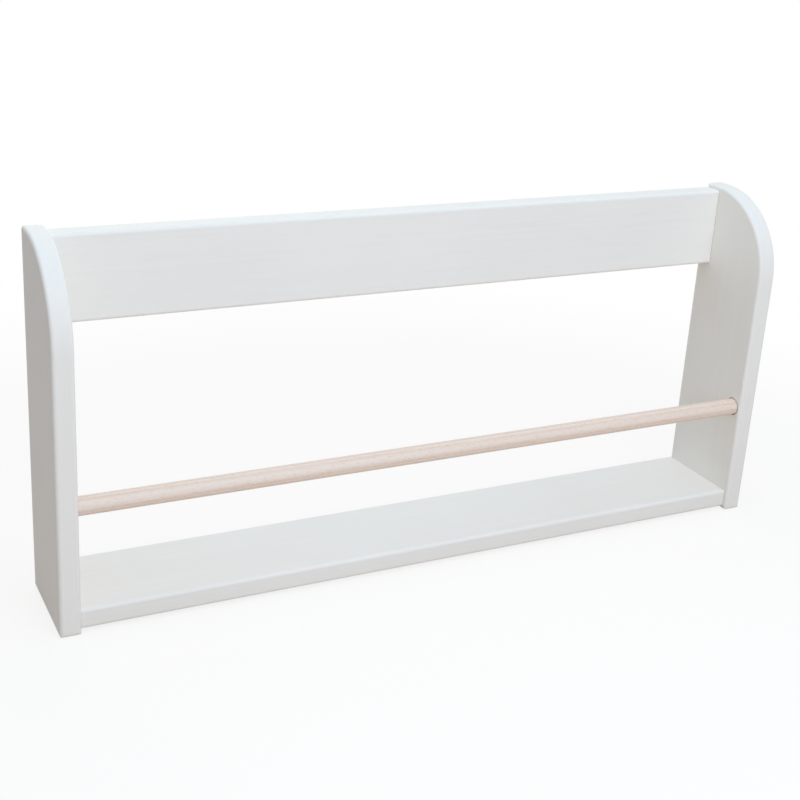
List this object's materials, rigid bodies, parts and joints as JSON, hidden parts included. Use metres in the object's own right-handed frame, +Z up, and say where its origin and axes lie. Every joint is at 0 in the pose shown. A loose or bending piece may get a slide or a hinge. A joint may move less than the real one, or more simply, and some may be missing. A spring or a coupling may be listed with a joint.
{
  "type": "wall bookshelf",
  "caption": "Low white painted wall bookshelf with round-shouldered side panels, a back rail, a bottom board and a loose round rod in front that keeps books from falling forward.",
  "frame": {"origin": "middle of the shelf's footprint, on the plane of the side panels' undersides", "axes": "+X along the shelf to the right as seen from the front, +Y from the open front towards the wall, +Z up"},
  "size_m": [0.7, 0.093, 0.322],
  "materials": {
    "white_painted_wood": "smooth satin paint, warm white",
    "rod_beech": "bare sanded beech, fine grain along the rod",
    "pin_beech": "bare beech, fluted",
    "zinc_plated_steel": "bright zinc plating"
  },
  "bodies": {
    "frame": {"left_side": "white_painted_wood", "right_side": "white_painted_wood", "back_rail": "white_painted_wood", "bottom_board": "white_painted_wood", "rail_pin_left_upper": "pin_beech", "rail_pin_left_lower": "pin_beech", "rail_pin_right_upper": "pin_beech", "rail_pin_right_lower": "pin_beech", "board_pin_left_front": "pin_beech", "board_pin_left_back": "pin_beech", "board_pin_right_front": "pin_beech", "board_pin_right_back": "pin_beech", "left_hanger_plate": "zinc_plated_steel", "right_hanger_plate": "zinc_plated_steel", "left_hanger_upper_screw": "zinc_plated_steel", "left_hanger_lower_screw": "zinc_plated_steel", "right_hanger_upper_screw": "zinc_plated_steel", "right_hanger_lower_screw": "zinc_plated_steel"},
    "rod": {"front_rod": "rod_beech"}
  },
  "joints": [
    {"name": "rod_turn", "type": "hinge", "parent": "frame", "child": "rod", "pos_m": [0, -0.0345, 0.111], "axis": [1, 0, 0], "continuous": true}
  ]
}
